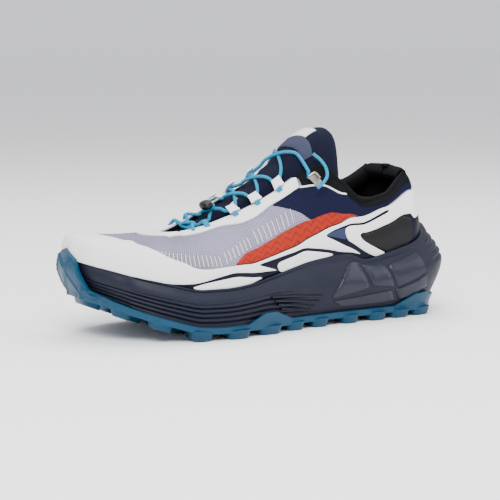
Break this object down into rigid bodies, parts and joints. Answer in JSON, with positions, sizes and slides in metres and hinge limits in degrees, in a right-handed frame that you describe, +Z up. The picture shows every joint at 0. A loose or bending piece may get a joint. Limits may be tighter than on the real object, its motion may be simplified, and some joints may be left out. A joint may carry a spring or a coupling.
{
  "type": "trail running shoe",
  "caption": "Low trail running shoe for the left foot, with a lugged rubber outsole, foam midsole, mesh upper with film overlays, padded tongue and round laces.",
  "frame": {"origin": "centre of the shoe's box in plan, on the floor that its lugs stand on", "axes": "+X from toe to heel, +Y towards the medial side, +Z up"},
  "size_m": [0.2896, 0.1098, 0.1356],
  "materials": {
    "midsole": "moulded foam, matt",
    "outsole": "moulded rubber, matt",
    "upper": "woven mesh, with a knit collar",
    "insole": "cloth over foam",
    "tongue": "padded cloth",
    "laces": "woven round cord",
    "cage": "welded film, slightly glossy",
    "band_lateral": "printed film",
    "band_medial": "printed film",
    "eyestay": "welded film",
    "badge_lateral": "smooth bare panel",
    "badge_medial": "smooth bare panel",
    "lace_clip": "satin clip",
    "tongue_label": "bare woven label",
    "tongue_band": "woven band",
    "cord_lock": "moulded, satin",
    "pull_tab": "webbing",
    "lace_end": "woven round cord"
  },
  "bodies": {
    "root": {"midsole": "midsole", "outsole": "outsole", "upper": "upper", "insole": "insole", "tongue": "tongue", "laces": "laces", "cage": "cage", "band_lateral": "band_lateral", "band_medial": "band_medial", "eyestay": "eyestay", "badge_lateral": "badge_lateral", "badge_medial": "badge_medial", "lace_clip": "lace_clip", "tongue_label": "tongue_label", "tongue_band": "tongue_band", "cord_lock": "cord_lock", "pull_tab": "pull_tab", "lace_end": "lace_end"}
  },
  "joints": []
}
